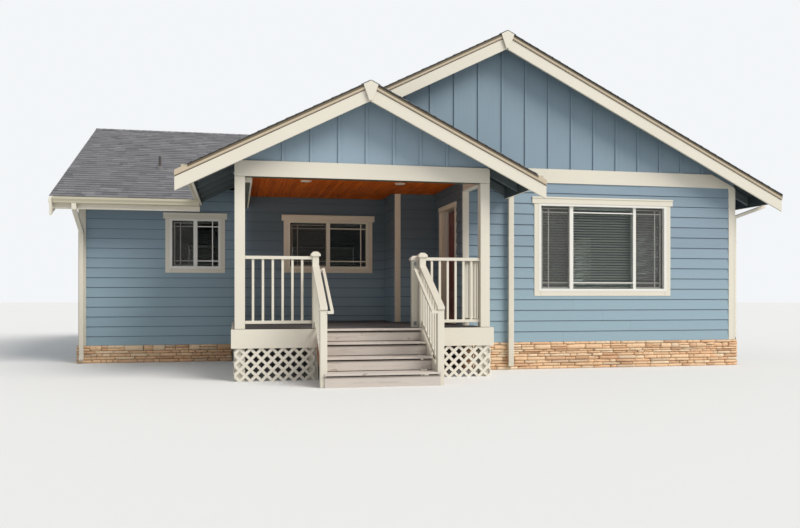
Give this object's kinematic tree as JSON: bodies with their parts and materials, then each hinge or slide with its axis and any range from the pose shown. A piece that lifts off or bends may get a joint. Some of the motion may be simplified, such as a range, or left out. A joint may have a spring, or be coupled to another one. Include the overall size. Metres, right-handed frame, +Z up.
{
  "type": "bungalow",
  "caption": "Single storey timber bungalow: nested front gables, side wing, raised covered porch with stair and railings, and a hinged front door.",
  "frame": {"origin": "middle of the house's bounding box, on the ground", "axes": "+X to the house's right seen from the front, +Y to its back, +Z up"},
  "size_m": [12.39, 13.568, 5.477],
  "materials": {
    "siding": "satin painted lap boards and battens",
    "trim": "satin cream paint",
    "shingles": "mineral granules on asphalt shingles",
    "gutter_metal": "satin baked enamel",
    "concrete": "matte cast concrete",
    "stone": "split faced, matte",
    "floor_board": "satin boards",
    "ceiling_wood": "clear satin stain",
    "deck_wood": "weathered, matte",
    "vinyl": "smooth white",
    "glass": "clear",
    "door_paint": "satin dark red",
    "handle_metal": "satin",
    "pipe": "matte"
  },
  "bodies": {
    "house": {"front_left_wall": "siding", "porch_back_wall": "siding", "recess_side_wall": "siding", "recess_back_wall": "siding", "door_side_walls": "siding", "door_wall_head": "siding", "front_right_wall": "siding", "right_wall": "siding", "rear_wall": "siding", "left_wall": "siding", "front_gable_wall": "siding", "rear_gable_wall": "siding", "porch_gable_wall": "siding", "main_barge_boards": "trim", "porch_barge_boards": "trim", "wing_barge_boards": "trim", "fascias": "trim", "band_boards": "trim", "corner_boards": "trim", "rim_boards": "trim", "porch_posts": "trim", "porch_beams": "trim", "porch_railings": "trim", "stair_railings": "trim", "handrails": "trim", "newel_posts": "trim", "stair_stringers": "trim", "lattice_skirt": "trim", "opening_trim": "trim", "door_frame": "trim", "main_roof_left": "shingles", "main_roof_right": "shingles", "porch_roof_left": "shingles", "porch_roof_right": "shingles", "wing_roof_front": "shingles", "wing_roof_rear": "shingles", "ridge_caps": "shingles", "gutters": "gutter_metal", "downspouts": "gutter_metal", "foundation": "concrete", "stone_base": "stone", "floor": "floor_board", "porch_ceiling": "ceiling_wood", "porch_deck": "deck_wood", "stair_treads": "deck_wood", "stair_risers": "deck_wood", "window_frames": "vinyl", "window_glass": "glass", "vent_pipe": "pipe"},
    "front_door": {"door_leaf": "door_paint", "door_glass": "glass", "door_hardware": "handle_metal"}
  },
  "joints": [
    {"name": "door_hinge", "type": "hinge", "parent": "house", "child": "front_door", "pos_m": [0.729, -3.383, 1.743], "axis": [0, 0, 1], "range_deg": [0, 100]}
  ]
}
